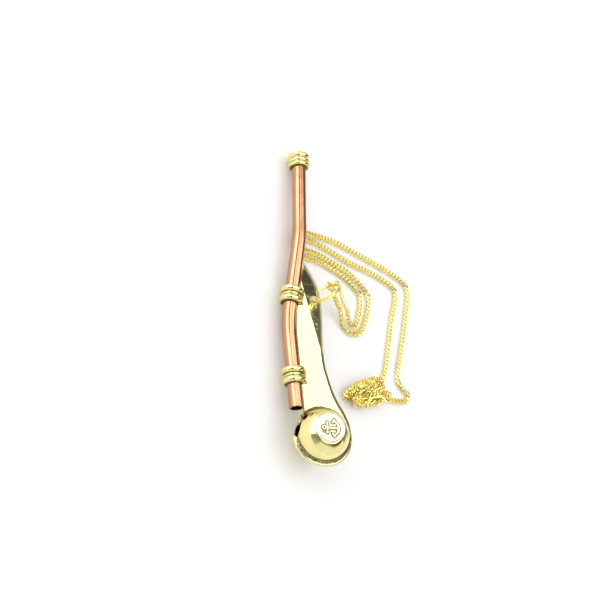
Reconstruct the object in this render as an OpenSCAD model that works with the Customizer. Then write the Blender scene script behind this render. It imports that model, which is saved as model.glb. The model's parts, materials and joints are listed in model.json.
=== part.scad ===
// A boatswain's call: a bent copper tube soldered to a brass keel, with a hollow
// brass ball at its low end, three ringed collars, and a neck chain on a split ring.
// The call is drawn flat in the plane of its keel, with the ball's centre at the
// origin, the mouth towards +X and the tube on the +Y side, and is then laid down
// on its side as it comes to rest on a table.

/* [Tube] */
// Outside diameter of the copper tube
tube_od = 5.4; // [5:0.1:6]
// Wall of the copper tube
tube_wall = 0.5; // [0.4:0.05:0.8]
// Straight stretch from the first bend to the mouth
mouth_length = 30.2; // [26:0.5:36]
// Straight stretch between the two bends
middle_length = 26.5; // [25:0.5:32]
// Straight stretch from the second bend to the open end over the ball
low_length = 27.8; // [25:0.5:32]
// Angle of the bend nearer the mouth
mouth_bend = 7.5; // [5:0.5:9]
// Angle of the bend nearer the ball
low_bend = 12.5; // [10:0.5:14]
// Radius of both bends
bend_radius = 60; // [50:1:70]
// How far inside the ball's surface the tube's axis passes
jet_depth = 1.2; // [0.8:0.1:1.6]
// Distance of the open end from the ball's centre, along the call
open_end_x = 9.6; // [9.2:0.1:11]

/* [Ball] */
// Outside diameter of the ball
ball_d = 20; // [18:0.5:22]
// Wall of the two ball shells
ball_wall = 0.6; // [0.5:0.05:0.9]
// Length of the air slot round the ball
slot_length = 8.5; // [8:0.5:11]
// Width of the air slot
slot_width = 6.5; // [4.5:0.25:7]
// Width of the solder round the foot of each shell
foot_w = 0.7; // [0.4:0.1:1]
// Direction of the air slot from the ball's centre, from the call's own length
slot_angle = 75; // [70:1:80]

/* [Medallions] */
// Diameter of each medallion
medal_d = 11.2; // [10:0.2:12]
// Thickness of each medallion
medal_t = 0.8; // [0.6:0.1:1.2]
// Height of the anchor above its medallion
relief_h = 0.3; // [0.2:0.05:0.5]
// Width of the anchor's shank
shank_w = 0.9; // [0.7:0.05:1.2]

/* [Keel] */
// Thickness of the keel plate
keel_t = 2; // [1.6:0.1:2.4]
// How far the keel's rim stands out round the ball
rim_w = 1.4; // [1:0.1:2]

/* [Collars] */
// Outside diameter of the rings at the mouth
mouth_collar_d = 8.3; // [7.8:0.1:9]
// Height of each of the two beads at the mouth
mouth_bead_h = 1.7; // [1.5:0.1:2]
// Height of the rounded lip at the mouth
lip_h = 2.6; // [2.4:0.1:3.2]
// Outside diameter of the heavy beads on the other two collars
bead_d = 9; // [8.4:0.1:9.6]
// Height of each heavy bead
bead_h = 2.5; // [2.2:0.1:2.7]
// Outside diameter of the band between two heavy beads
band_d = 7.4; // [6.9:0.1:8]
// Height of the band between two heavy beads
band_h = 1.4; // [1.2:0.1:1.8]
// Distance of the middle collar from the top of the middle stretch
middle_collar_at = 22.7; // [21:0.1:23]
// Distance of the low collar from the top of the low stretch
low_collar_at = 15.5; // [10:0.1:18]

/* [Ring] */
// Diameter of the hole in the keel
hole_d = 3.2; // [3.1:0.1:3.6]
// Distance of the hole from the ball's centre, along the call
hole_x = 53; // [50:0.5:56]
// Distance of the hole from the line through the ball's centre
hole_y = 2.8; // [2.6:0.1:3.4]
// Wire of the split ring
ring_wire = 0.75; // [0.6:0.05:0.8]
// Mean diameter of the split ring
ring_d = 12.6; // [12:0.2:14]
// Way that the ring points, from square to the keel's edge towards the mouth
ring_heading = 42; // [30:1:55]
// How far the ring leans over in its hole
ring_lean = 28; // [15:1:30]
// Wire of the chain's end links
link_wire = 0.6; // [0.5:0.05:0.7]
// Mean diameter of the chain's end links
link_d = 3.3; // [3.1:0.1:3.8]

/* [Chain] */
// Width of the chain across its links
chain_w = 2.5; // [2.2:0.1:2.8]
// Thickness of the chain as it lies flat
chain_t = 1.5; // [1.3:0.1:1.7]

/* [Hidden] */

$fn = 96;

tube_r = tube_od / 2;
bore_r = tube_r - tube_wall;
ball_r = ball_d / 2;
ball_in_r = ball_r - ball_wall;
half_keel = keel_t / 2;
solder = 0.03;   // room for solder between pieces that fit round each other
small = 0.01;    // overlap that keeps cuts clean
hair = 0.02;     // how much thinner the bent stretches of tube are
lap_angle = 0.3; // how far a bent stretch runs into the straight ones, in degrees

// The tube's axis, from the open end over the ball up to the mouth.
function along(angle) = [cos(angle), sin(angle)];
function across(angle) = [-sin(angle), cos(angle)];
low_angle = low_bend - mouth_bend;
middle_angle = -mouth_bend;
jet_offset = ball_r - jet_depth;
open_end = [open_end_x, (jet_offset + open_end_x * sin(low_angle)) / cos(low_angle)];
low_top = open_end + low_length * along(low_angle);
low_centre = low_top - bend_radius * across(low_angle);
middle_foot = low_centre + bend_radius * across(middle_angle);
middle_top = middle_foot + middle_length * along(middle_angle);
mouth_centre = middle_top + bend_radius * across(middle_angle);
mouth_foot = mouth_centre - bend_radius * across(0);
lip_cover = 0.8;   // how far the lip reaches past the tube's own end
mouth_end = mouth_foot + [mouth_length, 0];
call_end = mouth_end + [lip_cover, 0];

// The keel's outline.
rim_r = ball_r + rim_w;
rim_centre = [-0.4, -0.2];
keel_edge = [
  [69.5, 8.2], [68.6, 6.3], [65.4, 4.1], [62.2, 2.3], [58.5, 0.9], [54.5, 0], [49.5, -0.6],
  [44, -0.75], [38, -0.8], [32, -1.1], [27, -1.8], [22.7, -3], [19.4, -4.05], [16.2, -5.35],
  [13.4, -6.8], [10.8, -8.4], [8.2, -9.75], [5.6, -10.8], [2.2, -11.3]
];

// A smooth curve through points, with n steps from each point to the next.
function curve_at(a, b, c, d, t) =
  0.5 * (2 * b + (c - a) * t + (2 * a - 5 * b + 4 * c - d) * t * t + (3 * b - a - 3 * c + d) * t * t * t);
function smooth(p, n) = let (last = len(p) - 1) concat(
  [for (i = [0:last - 1], k = [0:n - 1])
    curve_at(p[max(i - 1, 0)], p[i], p[i + 1], p[min(i + 2, last)], k / n)],
  [p[last]]);

// The ring's hole, the ring and the chain's two end links.
hole = [hole_x, hole_y, 0];
ring_r = ring_d / 2;
ring_out = [sin(ring_heading), -cos(ring_heading), 0];
ring_axis = cos(ring_lean) * [cos(ring_heading), sin(ring_heading), 0] + [0, 0, sin(ring_lean)];
ring_down = cross(ring_axis, ring_out);
ring_centre = hole + ring_r * ring_out;
ring_turns_gap = 0.02;   // how far the ring's two turns press into each other
link_r = link_d / 2;
link_slack = link_r - link_wire / 2 - ring_wire - 0.1;
link_places = [2, 32];   // degrees round the ring from its far end
link_pulls = [-62, -58];   // degrees from straight outward towards the ring's axis

// The chain as it lies on the table, and the edge of the heap that its bight makes.
left_run = [
  [56.4, -14.8, 4.4], [54.2, -17.8, 2.1], [51.8, -19.9, 0.8], [50.1, -23, 0.75], [50.6, -27.2, 0.75],
  [53.2, -30.6, 0.75], [58, -32.5, 0.75], [63.6, -34, 0.75], [67.9, -34, 0.75], [70.6, -31.6, 0.75],
  [72.8, -28, 0.75], [74.5, -24.6, 0.75], [75.6, -21.3, 0.75], [77, -13.1, 0.75], [78, -6.7, 0.75],
  [77.8, -2, 0.75], [77.8, 1.2, 0.75], [79.6, 3.4, 0.75], [81.9, 1.6, 0.75], [82.5, -4, 0.75],
  [81.9, -10, 0.75], [79.8, -23, 0.75], [78.9, -37, 0.75], [76.8, -46.5, 0.75], [73.8, -49.3, 0.75],
  [67.9, -48.3, 0.75], [62.3, -47, 0.75], [54.6, -45.7, 0.75], [47, -44.5, 0.75], [41, -43.4, 0.75],
  [34.2, -41.4, 0.75]
];
right_run = [
  [57.9, -16.8, 5.1], [57, -20, 3.2], [54.4, -22.8, 1.4], [53.2, -25, 0.75], [55, -27.6, 0.75],
  [60.1, -29, 0.75], [64.5, -29.6, 0.75], [68.2, -28.6, 0.75], [70, -25.7, 0.75], [71.6, -22.6, 0.75],
  [73.2, -17.8, 0.75], [74.2, -12.6, 0.75], [75, -7.2, 0.75], [74.8, -2, 0.75], [74.8, 2, 0.75],
  [76.6, 5, 0.75], [80, 6.1, 0.75], [83.4, 4.6, 0.75], [85, 1, 0.75], [85.6, -4.6, 0.75],
  [86.1, -12, 0.75], [86.2, -16.4, 0.75], [84.7, -30, 0.75], [82.9, -44, 0.75], [80.9, -52.7, 0.75],
  [78, -56, 0.75], [72.6, -56.3, 0.75], [64.5, -54.8, 0.75], [56.9, -53.4, 0.75], [47.6, -51.5, 0.75],
  [40.4, -50, 0.75], [36.6, -50, 0.75], [34.2, -52.6, 0.75], [32.3, -55.6, 0.75], [30, -54.8, 0.75],
  [28.2, -49, 0.75], [28, -41.4, 0.75]
];
heap_edge = [
  [22.6, -17.8], [26.6, -20.2], [29.2, -23.6], [32.4, -30.2], [34.8, -37], [35.2, -41.4],
  [33.4, -43.4], [29.9, -43.6], [24.5, -40.2], [21, -32.5], [20.8, -23.9], [21.2, -19.7]
];
heap_middle = [27.6, -31];
heap_steps = [[0, 0.9], [0.8, 1], [1.9, 0.96], [3.2, 0.82], [4.4, 0.6], [5.2, 0.34]];

// Shallow anchor on each medallion.
anchor_len = 0.62 * medal_d;
eye_r = 0.09 * medal_d;
arm_r = 0.30 * medal_d;

// How the call lies: it touches the table with the back medallion's edge, the
// middle collar's low bead and the mouth's lip. Each is a round edge, so the spot
// that touches depends on the tilt and is found by repeating a few times.
medal_h = sqrt(pow(ball_r, 2) - pow(medal_d / 2, 2)) + medal_t;
middle_collar_h = 2 * bead_h + band_h;
function at_middle(s) = middle_top - s * along(middle_angle);
function at_low(s) = low_top - s * along(low_angle);
middle_bead_low = at_middle(middle_collar_at + band_h / 2 + bead_h / 2);
lip_middle = call_end - [lip_h / 2, 0];
function flat(p) = [p[0], p[1], 0];
function unit(v) = v / norm(v);
function lowest(c, axis, r, round_r, up) =
  let (down = -up, side = unit(down - (down * axis) * axis))
  c + (r - round_r) * side + round_r * down;
function touches(up) = [
  lowest([0, 0, -medal_h], [0, 0, 1], medal_d / 2, 0, up),
  lowest(flat(middle_bead_low), flat(along(middle_angle)), bead_d / 2, bead_h / 2, up),
  lowest(flat(lip_middle), [1, 0, 0], mouth_collar_d / 2, lip_h / 2, up)
];
function plane_up(p) = unit(cross(p[2] - p[0], p[1] - p[0]));
function settle(up, n) = n == 0 ? up : settle(plane_up(touches(up)), n - 1);
rest_up = settle(unit([0, -0.4, 0.9]), 16);
rest_x = unit([1, 0, 0] - rest_up[0] * rest_up);
rest_y = cross(rest_up, rest_x);
rest_h = touches(rest_up)[0] * rest_up;

// The middle of the call's footprint, from the four pieces that reach furthest.
function reach(c, axis, r, round_r, way) =
  c * way + (r - round_r) * norm(way - (way * axis) * axis) + round_r;
far_x = max(
  reach(flat(lip_middle), [1, 0, 0], mouth_collar_d / 2, lip_h / 2, rest_x),
  flat(call_end) * rest_x + (mouth_collar_d / 2 - lip_h / 2) * norm(cross(rest_x, [1, 0, 0])));
near_x = -max(
  reach([rim_centre[0], rim_centre[1], half_keel], [0, 0, 1], rim_r, 0, -rest_x),
  reach([rim_centre[0], rim_centre[1], -half_keel], [0, 0, 1], rim_r, 0, -rest_x));
far_y = reach(flat(middle_bead_low), flat(along(middle_angle)), bead_d / 2, bead_h / 2, rest_y);
near_y = -max(
  reach([rim_centre[0], rim_centre[1], -half_keel], [0, 0, 1], rim_r, 0, -rest_y),
  reach([0, 0, 0], [0, 0, 1], 0, ball_r, -rest_y));
rest_shift = [-(far_x + near_x) / 2, -(far_y + near_y) / 2, -rest_h];

// Takes what is drawn in the keel's plane to where it lies on the table.
module laid() {
  multmatrix([
    [rest_x[0], rest_x[1], rest_x[2], rest_shift[0]],
    [rest_y[0], rest_y[1], rest_y[2], rest_shift[1]],
    [rest_up[0], rest_up[1], rest_up[2], rest_shift[2]],
    [0, 0, 0, 1]
  ]) children();
}

// A straight or bent length of pipe along the tube's axis. The bent lengths are a
// hair thinner and run a little way into the straight ones.
module straight(start, angle, length, r, bore = 0) {
  translate(flat(start)) rotate([0, 0, angle]) rotate([0, 90, 0]) rotate_extrude()
    translate([bore, 0]) square([r - bore, length]);
}

module bent(centre, from_angle, sweep) {
  translate(flat(centre)) rotate([0, 0, from_angle - lap_angle])
    rotate_extrude(angle = sweep + 2 * lap_angle) translate([bend_radius, 0]) difference() {
      circle(r = tube_r - hair);
      circle(r = bore_r + hair);
    }
}

module gun_tube() {
  color("#b87a56") laid() {
    straight(open_end, low_angle, low_length, tube_r, bore_r);
    bent(low_centre, 90 + middle_angle, low_bend);
    straight(middle_foot, middle_angle, middle_length, tube_r, bore_r);
    bent(mouth_centre, -90 + middle_angle, mouth_bend);
    straight(mouth_foot, 0, mouth_length, tube_r, bore_r);
  }
}

// A ring with a half-round outside, on the tube at a place and angle.
module bead(place, angle, outer_d, height) {
  inner_r = tube_r + solder;
  crown_r = outer_d / 2 - height / 2;
  color("#d9c16a") laid() translate(flat(place)) rotate([0, 0, angle]) rotate([0, 90, 0])
    rotate_extrude() {
      translate([inner_r, -height / 2]) square([crown_r - inner_r, height]);
      intersection() {
        translate([crown_r, 0]) circle(d = height);
        translate([crown_r - small, -height]) square([height, 2 * height]);
      }
    }
}

module heavy_collar(place, angle, part) {
  step = (band_h + bead_h) / 2;
  if (part == "upper") bead(place + step * along(angle), angle, bead_d, bead_h);
  if (part == "band") bead(place, angle, band_d, band_h);
  if (part == "lower") bead(place - step * along(angle), angle, bead_d, bead_h);
}

module middle_collar(part) {
  heavy_collar(at_middle(middle_collar_at), middle_angle, part);
}

module low_collar(part) {
  heavy_collar(at_low(low_collar_at), low_angle, part);
}

// The lip closes over the tube's end and keeps the tube's own bore.
module mouth_lip() {
  crown_r = mouth_collar_d / 2 - lip_h / 2;
  color("#d9c16a") laid() translate(flat(call_end)) rotate([0, 90, 0]) difference() {
    translate([0, 0, -lip_h / 2]) rotate_extrude() {
      translate([0, -lip_h / 2]) square([crown_r, lip_h]);
      translate([crown_r, 0]) circle(d = lip_h);
    }
    translate([0, 0, -lip_h - small]) cylinder(r = tube_r + solder, h = lip_h - lip_cover + small);
    translate([0, 0, -lip_h]) cylinder(r = bore_r, h = 2 * lip_h);
  }
}

module mouth_bead(n) {
  bead(call_end - [lip_h + (n + 0.5) * mouth_bead_h, 0], 0, mouth_collar_d, mouth_bead_h);
}

// The slot is a rounded window through both shells and the keel's rim.
module air_slot() {
  end_r = slot_width / 2;
  reach_in = ball_r - 4.5;
  rotate([0, 0, slot_angle]) translate([reach_in, 0, 0]) rotate([0, 90, 0])
    for (side = [-1, 1]) {
      translate([0, side * (slot_length / 2 - end_r), 0]) cylinder(r = end_r, h = ball_r);
      translate([-end_r, side > 0 ? 0 : -(slot_length / 2 - end_r), 0])
        cube([slot_width, slot_length / 2 - end_r, ball_r]);
    }
}

// A strip of the keel's plane on both sides of a line, and the strips that the
// tube, its two collars and the jet of air take out of the keel.
module strip(start, angle, length, half_w) {
  translate(start) rotate(angle) translate([0, -half_w]) square([length, 2 * half_w]);
}

module keel_cuts() {
  seat_w = tube_r + solder;
  notch_w = bead_d / 2 + 0.05;
  notch_h = middle_collar_h + 0.1;
  jet_room = 9;
  strip(open_end - jet_room * along(low_angle), low_angle, low_length + jet_room + 1, seat_w);
  strip(middle_foot - along(middle_angle), middle_angle, middle_length, seat_w);
  polygon([for (i = [0:12]) low_centre + (bend_radius - seat_w) * across(low_angle - low_bend * i / 12),
    low_centre + (bend_radius + seat_w) * across(middle_angle),
    low_centre + (bend_radius + seat_w) * across(low_angle)]);
  strip(at_middle(middle_collar_at + notch_h / 2), middle_angle, notch_h, notch_w);
  strip(at_low(low_collar_at + notch_h / 2), low_angle, notch_h, notch_w);
}

module keel_blank() {
  translate([0, 0, -half_keel]) linear_extrude(height = keel_t)
    polygon(concat(smooth(keel_edge, 4), [[-3, -3], open_end, low_top, middle_foot,
      at_middle((middle_top[0] - keel_edge[0][0]) / cos(middle_angle))]));
  translate([rim_centre[0], rim_centre[1], -half_keel]) cylinder(r = rim_r, h = keel_t);
}

module keel_plate() {
  chamber_r = ball_in_r - 0.4;
  color("#e0cf86") laid() difference() {
    keel_blank();
    translate([0, 0, -keel_t]) linear_extrude(height = 2 * keel_t) keel_cuts();
    translate([0, 0, -keel_t]) cylinder(r = chamber_r, h = 2 * keel_t);
    translate(hole - [0, 0, keel_t]) cylinder(d = hole_d, h = 2 * keel_t);
    air_slot();
  }
}

// Half of the ball, pressed flat at its pole to take a medallion.
module ball_shell() {
  flat_h = medal_h - medal_t;
  difference() {
    intersection() {
      union() {
        sphere(r = ball_r);
        cylinder(r1 = ball_r + foot_w + half_keel, r2 = ball_r - 1, h = foot_w + 1 + half_keel);
      }
      translate([0, 0, half_keel]) cylinder(r = ball_d, h = flat_h - half_keel);
    }
    intersection() {
      sphere(r = ball_in_r);
      cylinder(r = ball_d, h = flat_h - ball_wall);
    }
    air_slot();
  }
}

module ball_shell_front() {
  color("#dcc878") laid() ball_shell();
}

module ball_shell_back() {
  color("#dcc878") laid() mirror([0, 0, 1]) ball_shell();
}

// Anchor with its eye towards the tube and its crown away from it.
module anchor() {
  thick = relief_h + 0.1;
  half = anchor_len / 2;
  stock_y = half - 2.6 * eye_r;
  stock_w = 0.36 * medal_d;
  crown_y = -half;
  translate([-shank_w / 2, crown_y, 0]) cube([shank_w, anchor_len - eye_r, thick]);
  translate([-stock_w / 2, stock_y, 0]) cube([stock_w, 0.8 * shank_w, thick]);
  translate([0, half - eye_r / 2, 0]) difference() {
    cylinder(r = eye_r, h = thick, $fn = 32);
    translate([0, 0, -small]) cylinder(r = 0.5 * eye_r, h = 2 * thick, $fn = 32);
  }
  translate([0, crown_y + arm_r, 0]) difference() {
    cylinder(r = arm_r, h = thick, $fn = 48);
    translate([0, 0, -small]) cylinder(r = arm_r - shank_w, h = 2 * thick, $fn = 48);
    translate([-medal_d, -0.35 * arm_r, -small]) cube([2 * medal_d, medal_d, 2 * thick]);
  }
}

module medallion() {
  translate([0, 0, medal_h - medal_t]) cylinder(d = medal_d, h = medal_t);
  translate([0, 0, medal_h - 0.1]) anchor();
}

module medallion_front() {
  color("#f0e7bd") laid() medallion();
}

module medallion_back() {
  color("#f0e7bd") laid() mirror([0, 0, 1]) medallion();
}

// Puts a flat round thing with its own axis along way and its centre at place.
module facing(place, way) {
  tilt = acos(way[2] / norm(way));
  turn = atan2(way[1], way[0]);
  translate(place) rotate([0, tilt, turn]) children();
}

module split_ring() {
  step = (ring_wire - ring_turns_gap) / 2;
  color("#e2c667") laid() facing(ring_centre, ring_axis) rotate_extrude()
    translate([ring_r, 0]) {
      translate([0, step]) circle(d = ring_wire, $fn = 24);
      translate([0, -step]) circle(d = ring_wire, $fn = 24);
    }
}

// An end link hangs from the ring, square to the ring's wire where it sits.
function ring_point(a) = ring_centre + ring_r * (cos(a) * ring_out + sin(a) * ring_down);
function ring_way(a) = -sin(a) * ring_out + cos(a) * ring_down;
function ring_side(a) = cos(a) * ring_out + sin(a) * ring_down;
function link_pull(a, b) = cos(b) * ring_side(a) + sin(b) * ring_axis;
function link_centre(a, b) = ring_point(a) + link_slack * link_pull(a, b);

module end_link(n) {
  a = link_places[n];
  color("#e5c970") laid() facing(link_centre(a, link_pulls[n]), ring_way(a))
    rotate_extrude() translate([link_r, 0]) circle(d = link_wire, $fn = 24);
}

// A flattened tube along a path on the table, eight-sided across.
function beside(way) = unit([way[1], -way[0], 0]);
function way_at(p, i) = unit(p[min(i + 1, len(p) - 1)] - p[max(i - 1, 0)]);
function across_chain(w, t) = [
  [w / 2, -t / 5], [w / 2, t / 5], [w / 3, t / 2], [-w / 3, t / 2],
  [-w / 2, t / 5], [-w / 2, -t / 5], [-w / 3, -t / 2], [w / 3, -t / 2]
];
function ring_round(p, i, section) =
  let (way = way_at(p, i), side = beside(way), above = cross(side, way))
  [for (s = section) p[i] + s[0] * side + s[1] * above];

// Joins rings of points, each with n points, into one closed skin.
module skin(rings) {
  n = len(rings[0]);
  last = len(rings) - 1;
  polyhedron(
    points = [for (r = rings) each r],
    faces = concat(
      [[for (k = [n - 1:-1:0]) k]],
      [for (i = [0:last - 1], k = [0:n - 1])
        [i * n + k, i * n + (k + 1) % n, (i + 1) * n + (k + 1) % n, (i + 1) * n + k]],
      [[for (k = [0:n - 1]) last * n + k]]));
}

module chain_run(path) {
  p = [for (q = smooth(path, 2)) [q[0], q[1], max(q[2], chain_t / 2)]];
  section = across_chain(chain_w, chain_t);
  color("#d8bd62") translate([rest_shift[0], rest_shift[1], 0])
    skin([for (i = [0:len(p) - 1]) ring_round(p, i, section)]);
}

module chain_heap() {
  edge = smooth(concat(heap_edge, [heap_edge[0]]), 3);
  round_edge = [for (i = [len(edge) - 2:-1:0]) edge[i]];
  color("#d8bd62") translate([rest_shift[0], rest_shift[1], 0])
    skin([for (s = heap_steps) [for (q = round_edge)
      let (spot = heap_middle + s[1] * (q - heap_middle)) [spot[0], spot[1], s[0]]]]);
}

gun_tube();
mouth_lip();
mouth_bead(0);  // mouth_bead_upper
mouth_bead(1);  // mouth_bead_lower
middle_collar("upper");  // middle_collar_bead_upper
middle_collar("band");  // middle_collar_band
middle_collar("lower");  // middle_collar_bead_lower
low_collar("upper");  // low_collar_bead_upper
low_collar("band");  // low_collar_band
low_collar("lower");  // low_collar_bead_lower
keel_plate();
ball_shell_front();
ball_shell_back();
medallion_front();
medallion_back();
split_ring();
end_link(1);  // chain_end_link_left
end_link(0);  // chain_end_link_right
chain_run(left_run);  // chain_run_left
chain_run(right_run);  // chain_run_right
chain_heap();
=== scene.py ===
"""A boatswain's call in brass and copper, lying on its side with its neck chain.

Everything is worked out in the plane of the call's keel, in millimetres: the ball's
centre is the origin, the mouth lies towards +X, the tube runs on the +Y side and +Z
is the keel's normal. lay() then takes it to where the call rests, in metres.
"""

import json
from math import radians
from types import SimpleNamespace

import bpy
import numpy as np
from bpy.props import FloatProperty, FloatVectorProperty, IntProperty, PointerProperty
from mathutils import Matrix, Vector
from mathutils.geometry import delaunay_2d_cdt


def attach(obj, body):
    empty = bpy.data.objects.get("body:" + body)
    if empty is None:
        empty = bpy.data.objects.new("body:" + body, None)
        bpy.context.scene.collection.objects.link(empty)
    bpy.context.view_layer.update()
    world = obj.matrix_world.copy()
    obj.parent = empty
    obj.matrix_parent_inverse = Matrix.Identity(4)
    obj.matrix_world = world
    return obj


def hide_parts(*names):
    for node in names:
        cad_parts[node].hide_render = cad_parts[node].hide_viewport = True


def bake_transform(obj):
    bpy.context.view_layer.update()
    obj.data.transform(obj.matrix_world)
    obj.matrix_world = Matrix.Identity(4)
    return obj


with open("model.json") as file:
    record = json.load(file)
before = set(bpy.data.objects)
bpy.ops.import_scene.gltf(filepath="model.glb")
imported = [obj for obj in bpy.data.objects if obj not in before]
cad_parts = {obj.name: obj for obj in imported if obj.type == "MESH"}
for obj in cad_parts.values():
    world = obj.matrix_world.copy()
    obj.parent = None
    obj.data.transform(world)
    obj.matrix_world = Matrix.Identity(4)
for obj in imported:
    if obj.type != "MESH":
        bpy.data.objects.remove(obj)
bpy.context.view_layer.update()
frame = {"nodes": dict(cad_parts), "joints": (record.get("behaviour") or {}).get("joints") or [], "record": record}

bl_info = {
    "name": "Boatswain's call",
    "version": (1, 0, 0),
    "blender": (4, 5, 0),
    "location": "3D View > Sidebar > Call",
    "description": "Dresses a boatswain's call and its neck chain in brass and copper",
    "category": "Object",
}

MM = 0.001

# Sizes and colours


def length_prop(name, description, default):
    return FloatProperty(
        name=name, description=description, default=default, unit="LENGTH", precision=5
    )


def colour_prop(name, description, default):
    return FloatVectorProperty(
        name=name, description=description, default=default, subtype="COLOR", min=0.0, max=1.0
    )


class CALL_PG_sizes(bpy.types.PropertyGroup):
    """Sizes of the call, in metres."""

    tube_r: length_prop("Tube radius", "Outside radius of the copper tube", 2.7 * MM)
    bore_r: length_prop("Bore radius", "Inside radius of the copper tube", 2.2 * MM)
    ball_r: length_prop("Ball radius", "Outside radius of the ball", 10 * MM)
    rim_r: length_prop("Rim radius", "Radius of the keel's rim round the ball", 11.4 * MM)
    keel_t: length_prop("Keel thickness", "Thickness of the keel plate", 2 * MM)
    edge_w: length_prop("Edge rounding", "How far in the keel's edge starts to round", 0.75 * MM)
    bead_r: length_prop("Bead radius", "Outside radius of the heavy collar beads", 4.5 * MM)
    medal_r: length_prop("Medallion radius", "Radius of each medallion", 5.6 * MM)
    ring_r: length_prop("Ring radius", "Mean radius of the split ring", 6.3 * MM)
    ring_wire: length_prop("Ring wire", "Thickness of the split ring's wire", 0.75 * MM)
    solder_w: length_prop("Solder width", "How far the solder reaches out from the ball", 1 * MM)
    solder_h: length_prop("Solder height", "How high the solder climbs up the ball", 0.9 * MM)


class CALL_PG_chain(bpy.types.PropertyGroup):
    """Sizes of the curb chain."""

    width: length_prop("Chain width", "Width of the chain over its links", 2.5 * MM)
    pitch: length_prop("Pitch", "Distance from each link to the next", 1.72 * MM)
    wire: length_prop("Wire", "Thickness of the links' wire", 0.62 * MM)
    twist: FloatProperty(
        name="Twist", description="How far each end of a link is turned", default=radians(44),
        subtype="ANGLE",
    )
    turns: IntProperty(
        name="Heap loops", description="Loops that the heap is laid in", default=6, min=3, max=12
    )


class CALL_PG_finish(bpy.types.PropertyGroup):
    """Colours of the metals."""

    brass: colour_prop("Brass", "Polished brass", (0.93, 0.83, 0.38))
    pale: colour_prop("Pale brass", "Brass rubbed pale", (0.90, 0.82, 0.46))
    medal: colour_prop("Medallion brass", "Brass of the medallions", (0.90, 0.84, 0.55))
    # Patina is also the colour that painted shade is mixed towards, in corners and at the feet of parts.
    patina_and_shade: colour_prop("Patina", "Olive tarnish in the corners", (0.16, 0.14, 0.035))
    copper: colour_prop("Copper", "Polished copper", (0.64, 0.34, 0.19))
    copper_dark: colour_prop("Dark copper", "Browned copper", (0.44, 0.20, 0.11))
    chain: colour_prop("Chain brass", "Bright chain brass", (0.98, 0.83, 0.29))


# Where the call rests

HOLE = np.array([53.0, 2.8])
HOLE_R = 1.6


def rest_frame():
    """The call's axes in the frame: its length is the mouth's axis, the keel's normal is
    the swinging ring's axis, and the ring's hole fixes where they are."""
    record = frame["record"]
    mouth = record["mounts"][0]
    swing = [j for j in frame["joints"] if j["name"] == "ring_swing"][0]
    ax = np.array(mouth["axis"], float)
    az = np.array(swing["axis"], float)
    az = az - (az @ ax) * ax / (ax @ ax)
    ax, az = ax / np.linalg.norm(ax), az / np.linalg.norm(az)
    turn = np.stack([ax, np.cross(az, ax), az], axis=1)
    return turn, np.array(swing["pos_m"], float) - turn @ np.array([*HOLE, 0.0]) * MM


TURN, PLACE = rest_frame()


def lay(points):
    """From the keel's own axes in millimetres to the frame in metres."""
    return np.asarray(points, float) * MM @ TURN.T + PLACE


# Surfaces


def unit(v):
    """The directions, each one long."""
    v = np.asarray(v, float)
    return v / np.linalg.norm(v, axis=-1, keepdims=True)


def square_to(v, ways):
    """What is left of the directions once their part along the ways is taken off."""
    return unit(v - (v * ways).sum(-1, keepdims=True) * ways)


def heading(angle):
    """The way (cos, sin) at an angle, or one row for each of several angles."""
    return np.stack([np.cos(angle), np.sin(angle)], axis=-1)


def across(angle):
    """The way a quarter turn on from the heading."""
    return np.stack([-np.sin(angle), np.cos(angle)], axis=-1)


def circle(r, steps):
    """Points evenly round a circle, r * (cos a, sin a)."""
    return r * heading(np.linspace(0, 2 * np.pi, steps, endpoint=False))


def raised(points, height=0.0):
    """Points (x, y) of the keel's plane with their height over it."""
    rise = np.broadcast_to(np.asarray(height, float)[..., None], (*points.shape[:-1], 1))
    return np.concatenate([points, rise], axis=-1)


def turned_about(angles, r, z):
    """A grid about the keel's normal: each row is at its angle, with its points' own
    distances from the normal and heights."""
    return raised(r[..., None] * heading(angles)[:, None], z)


def ease(value, low, high):
    """0 below low and 1 above high, with no kink at either."""
    t = np.clip((value - low) / (high - low), 0, 1)
    return t * t * (3 - 2 * t)


def grid_faces(rows, cols, close_rows, close_cols):
    """Quads of a rows by cols grid whose rows and columns may each join round."""
    i = np.arange(rows if close_rows else rows - 1)
    j = np.arange(cols if close_cols else cols - 1)
    i, j = [a.ravel() for a in np.meshgrid(i, j, indexing="ij")]
    k, m = (i + 1) % rows, (j + 1) % cols
    return np.stack([i * cols + j, k * cols + j, k * cols + m, i * cols + m], axis=1)


def put(name, points, faces, body=None, nodes=(), slot=None, metal=None, shade_and_tarnish=None):
    """Makes the mesh, smooth but for its sharp edges, with the painted shade and tarnish that each
    point carries, if any is given. It rides on its body, stands for its nodes and wears its slot's
    metal, unless another is named."""
    mesh = bpy.data.meshes.new(name)
    faces = faces if isinstance(faces, list) else faces.tolist()
    mesh.from_pydata(np.reshape(points, (-1, 3)).tolist(), [], faces)
    mesh.polygons.foreach_set("use_smooth", np.ones(len(mesh.polygons), bool))
    if shade_and_tarnish is not None:
        attribute = mesh.attributes.new("shade_and_tarnish", "FLOAT", "POINT")
        attribute.data.foreach_set("value", np.asarray(shade_and_tarnish, np.float32).ravel())
    mesh.update()
    mesh.set_sharp_from_angle(angle=radians(40))
    piece = bpy.data.objects.new(name, mesh)
    bpy.context.scene.collection.objects.link(piece)
    if slot:
        dress(piece, finish(metal or slot))
    if body:
        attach(piece, body)
    if nodes:
        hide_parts(*nodes)
    return piece


def put_closed(name, points, node, slot, order, shade_and_tarnish=None):
    """Puts a grid that joins round both ways on the call in place of one node. The order, 1
    or -1, is the one in which its faces go round, so that they look outwards."""
    faces = grid_faces(*points.shape[:2], True, True)[:, ::order]
    put(name, lay(points), faces, "call", (node,), slot, shade_and_tarnish=shade_and_tarnish)


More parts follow.
